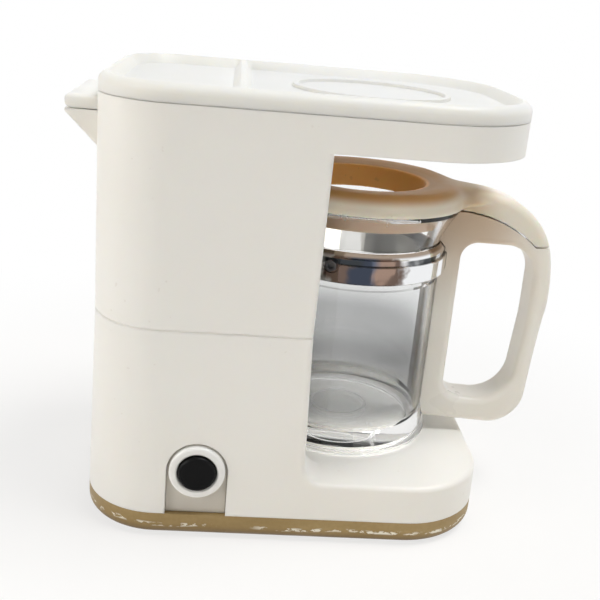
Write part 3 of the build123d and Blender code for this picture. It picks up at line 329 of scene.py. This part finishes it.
cream = plastic("cream_plastic", srgb(248, 246, 241), srgb(245, 242, 235), specks=0.1)
ivory = plastic("ivory_plastic", srgb(249, 247, 241), srgb(246, 243, 234), glow=0.5, specks=0.1,
                shine=0.25, depth=0.0045, spread=(1.0, 0.9, 0.72))
# The handle's tan high up towards the jug is painted shade.
handle_cream = plastic("handle_plastic", srgb(245, 242, 234), srgb(241, 236, 225), rough=0.32,
                       glow=0.1, specks=0.03, shade_colour=srgb(196, 172, 145), edge=0.0)
# Painted shade: the recessed switch panel greyer than the cream housing.
panel = plastic("panel_plastic", srgb(206, 201, 192), srgb(200, 194, 183), rough=0.42)
lid_painted_shade = lid_plastic()
white = plain("white_gloss", srgb(250, 250, 248), srgb(246, 246, 243), 0.16)
black = plain("black_gloss", srgb(9, 9, 10), srgb(15, 15, 16), 0.2, shine=0.1)
dark = plain("dark_plastic", srgb(44, 44, 46), srgb(52, 52, 54), 0.5)
pale = plain("pale_plastic", srgb(228, 224, 212), srgb(220, 215, 200), 0.45)
steel = plain("bright_steel", (0.56, 0.56, 0.58, 1), (0.46, 0.46, 0.48, 1), 0.26, 1.0, 160.0)
tarnish = plain("dark_plating", (0.16, 0.15, 0.15, 1), (0.07, 0.07, 0.075, 1), 0.2, 1.0, 240.0)
brass = plain("brass", (0.70, 0.52, 0.22, 1), (0.60, 0.43, 0.17, 1), 0.3, 1.0)
cell_skin = plain("cell_skin", srgb(46, 92, 66), srgb(40, 82, 60), 0.3)
soft_tube = plain("soft_tube", srgb(214, 214, 208), srgb(200, 200, 194), 0.35)
gold = gold_paint()
clear = clear_plastic()
plating = chrome()

finish = {
    "lower_housing": cream, "upper_housing": cream, "top_lid": ivory, "switch_panel": panel,
    "jug_handle": handle_cream, "jug_lid": lid_painted_shade, "base_plate": gold, "battery_door": gold,
    "switch_bezel": white, "switch_button": black, "switch_body": dark, "switch_nut": dark,
    "battery_frame": dark, "impeller": dark, "pump_volute": dark, "pump_cover": dark,
    "motor_cap": pale, "drip_nozzle": pale, "base_screws": steel, "housing_screws": steel,
    "battery_door_screw": steel, "band_screw": tarnish, "lid_hinge_pin": steel,
    "pump_motor": steel, "motor_shaft": steel, "battery_contacts": steel,
    "switch_terminals": brass, "batteries": cell_skin, "jug_band": plating, "jug": clear,
    "riser_tube": soft_tube, "shaft_seal": soft_tube,
}
for name, node in nodes.items():
    node.data.materials.clear()
    node.data.materials.append(finish[name])

# Light goes through the clear jug without a shadow, so its inside is lit.
nodes["jug"].visible_shadow = False


def soft_step(value, low, high):
    share = min(1.0, max(0.0, (value - low) / (high - low)))
    return share * share * (3 - 2 * share)


def along_profile(profile, reach):
    """Height at a reach from the jug's axis, on straight runs between the profile's points."""
    for (near, low), (far, high) in zip(profile, profile[1:]):
        if reach <= far:
            return low + (high - low) * max(0.0, reach - near) / (far - near)
    return profile[-1][1]


def ring_height(reach):
    """Top of the flatter ring: a slow rise from the hole to the crest, then a quarter round to the rim."""
    if reach < crest_radius:
        rise = soft_step(reach, hole_radius - 0.004, crest_radius)
        return hole_high + (crest_high - hole_high) * rise
    out = min(1.0, (reach - crest_radius) / (rim_radius - crest_radius))
    return rim_low + (crest_high - rim_low) * math.sqrt(1 - out * out)


def reshape_lid(mesh):
    """The solid's round dome made flatter, its rim lower over the jug's edge except at the strip,
    its hole shorter and its plug cut away on the far side."""
    dome = [(0.0167, 0.0861), (0.0170, 0.0865), (0.0173, 0.0869), (0.0177, 0.0872),
            (0.0181, 0.0874), (0.0186, 0.0876), (0.0190, 0.0878), (0.0200, 0.0879),
            (0.0205, 0.0878), (0.0218, 0.0875), (0.0228, 0.0871), (0.0239, 0.0866),
            (0.0249, 0.0860), (0.0260, 0.0850), (0.0270, 0.0839), (0.0275, 0.0832)]
    skin = 0.0003
    lip_reach, lip_below, lip_drop, strip_half_angle = 0.0272, 0.0826, 0.00065, 0.3
    hole_wall, hole_below, hole_low = 0.0187, 0.0800, 0.0804
    plug_below, plug_cut = 0.0780, 0.0026
    for vertex in mesh.vertices:
        x, y, z = vertex.co
        reach = math.hypot(x - jug_axis, y)
        from_strip = abs(math.atan2(y, x - jug_axis))
        if reach <= rim_radius + 1e-5:
            old = along_profile(dome, reach)
            new = ring_height(reach)
            if new < old and abs(z - old) < skin:
                vertex.co.z = z + new - old
            elif new > old and z > old - skin:
                vertex.co.z = max(z, new)
            if reach > lip_reach and z < lip_below and from_strip > strip_half_angle:
                vertex.co.z = z - lip_drop
        if z < hole_below and reach < hole_wall:
            vertex.co.z = hole_low
        elif z < plug_below:
            vertex.co.z = z + plug_cut * soft_step(y, -0.004, 0.014)


def cast_lid():
    """The jug lid as it shows: a flatter ring with its crest near the rim, flowing into the strip."""
    piece = bpy.data.objects.new("jug_lid_cast", nodes["jug_lid"].data.copy())
    scene.collection.objects.link(piece)
    reshape_lid(piece.data)
    even = piece.modifiers.new("even", "REMESH")
    even.mode = "VOXEL"
    even.voxel_size = 0.0004
    even.use_smooth_shade = True
    evaluated = piece.evaluated_get(bpy.context.evaluated_depsgraph_get())
    shape = bpy.data.meshes.new_from_object(evaluated)
    piece.modifiers.clear()
    piece.data = shape
    whole = piece.vertex_groups.new(name="whole")
    flare = piece.vertex_groups.new(name="flare")
    for vertex in shape.vertices:
        x, y, z = vertex.co
        whole.add([vertex.index], 1.0, "REPLACE")
        on_neck = soft_step(x, 0.034, 0.039) * soft_step(x, 0.056, 0.048)
        weight = on_neck * soft_step(z, 0.0832, 0.0840)
        if weight > 0:
            flare.add([vertex.index], weight, "REPLACE")
    for group, turns in (("flare", 120), ("whole", 3)):
        soft = piece.modifiers.new(group, "SMOOTH")
        soft.vertex_group = group
        soft.factor = 0.5
        soft.iterations = turns
    shape.materials.clear()
    shape.materials.append(lid_painted_shade)
    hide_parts("jug_lid")
    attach(piece, "carafe_lid")


cast_lid()


def seen_ray(tree):
    """1 for the rays that show a surface to the camera, straight on, in a mirror or through glass."""
    path = tree.nodes.new("ShaderNodeLightPath")
    first = tree.nodes.new("ShaderNodeMath")
    second = tree.nodes.new("ShaderNodeMath")
    first.operation = "MAXIMUM"
    second.operation = "MAXIMUM"
    tree.links.new(path.outputs["Is Camera Ray"], first.inputs[0])
    tree.links.new(path.outputs["Is Glossy Ray"], first.inputs[1])
    tree.links.new(first.outputs[0], second.inputs[0])
    tree.links.new(path.outputs["Is Transmission Ray"], second.inputs[1])
    return second.outputs[0]


def floor_material():
    """Pale floor: it shows as white, with the object's soft shadow kept near the object."""
    m = Nodes("floor_white")
    m.set(Base_Color=(0.90, 0.87, 0.82, 1), Roughness=0.9)
    shine = m.new("ShaderNodeEmission")
    blend = m.new("ShaderNodeMixShader")
    away = m.new("ShaderNodeVectorMath", operation="LENGTH")
    m.link(m.coords, away.inputs[0])
    share = m.ramp(away.outputs["Value"], 0.06, 0.20, 0.72, 1.0)
    m.link(m.product(seen_ray(m.tree), share), blend.inputs["Fac"])
    m.link(m.shader.outputs["BSDF"], blend.inputs[1])
    m.link(shine.outputs["Emission"], blend.inputs[2])
    m.link(blend.outputs["Shader"], m.tree.nodes["Material Output"].inputs["Surface"])
    return m.material


floor_size = 6.0
floor_height = -0.0002
bpy.ops.mesh.primitive_plane_add(size=floor_size, location=(0, 0, floor_height))
floor = bpy.context.object
floor.name = "floor"
floor.data.materials.append(floor_material())

# The world shows as white and gives a low even light.
world = bpy.data.worlds.new("studio")
scene.world = world
world.use_nodes = True
level = world.node_tree.nodes.new("ShaderNodeMapRange")
level.inputs["To Min"].default_value = 0.06
level.inputs["To Max"].default_value = 1.0
world.node_tree.links.new(seen_ray(world.node_tree), level.inputs["Value"])
back = world.node_tree.nodes["Background"]
back.inputs["Color"].default_value = (1, 1, 1, 1)
world.node_tree.links.new(level.outputs["Result"], back.inputs["Strength"])


def lamp(name, place, target, size, power, tint=(1, 1, 1)):
    data = bpy.data.lights.new(name, "AREA")
    data.energy = power
    data.size = size
    data.color = tint
    thing = bpy.data.objects.new(name, data)
    scene.collection.objects.link(thing)
    thing.location = place
    thing.visible_camera = False
    facing = Vector(target) - Vector(place)
    thing.rotation_euler = facing.to_track_quat("-Z", "Y").to_euler()
    return thing


middle = (0, 0, 0.06)
platform = (0.07, 0, 0.02)
cool = (0.97, 0.985, 1.0)
warm = (1.0, 0.965, 0.92)
warmer = (1.0, 0.96, 0.90)
lamp("key", (0.52, -0.07, 1.45), (0.01, 0, 0.05), 0.7, 18.4, cool)
lamp("rear", (-0.70, -0.06, 0.16), middle, 0.35, 0.8)
lamp("left", (-0.60, -0.40, 0.30), middle, 0.35, 1.85, warm)
lamp("low", (0.13, -0.20, 0.03), platform, 0.12, 0.06, warmer)
lamp("far", (0.10, 0.90, 0.35), middle, 0.5, 1.8).visible_glossy = False

yaw, pitch, roll = (math.radians(angle) for angle in (4.91, 18.994, 5.132))
place = Vector((-0.01926, -0.23749, 0.13305))
level_run = math.cos(pitch)
ahead = Vector((math.sin(yaw) * level_run, math.cos(yaw) * level_run, -math.sin(pitch)))
right = Vector((math.cos(yaw), -math.sin(yaw), 0))
above = right.cross(ahead)
across = math.cos(roll) * right + math.sin(roll) * above
upward = -math.sin(roll) * right + math.cos(roll) * above
camera_data = bpy.data.cameras.new("camera")
camera_data.lens = 54.995
camera_data.sensor_width = 36.0
camera_data.clip_start = 0.01
camera = bpy.data.objects.new("camera", camera_data)
scene.collection.objects.link(camera)
turn = Matrix((across, upward, -ahead)).transposed()
camera.matrix_world = Matrix.Translation(place) @ turn.to_4x4()
scene.camera = camera

scene.view_settings.view_transform = "Standard"
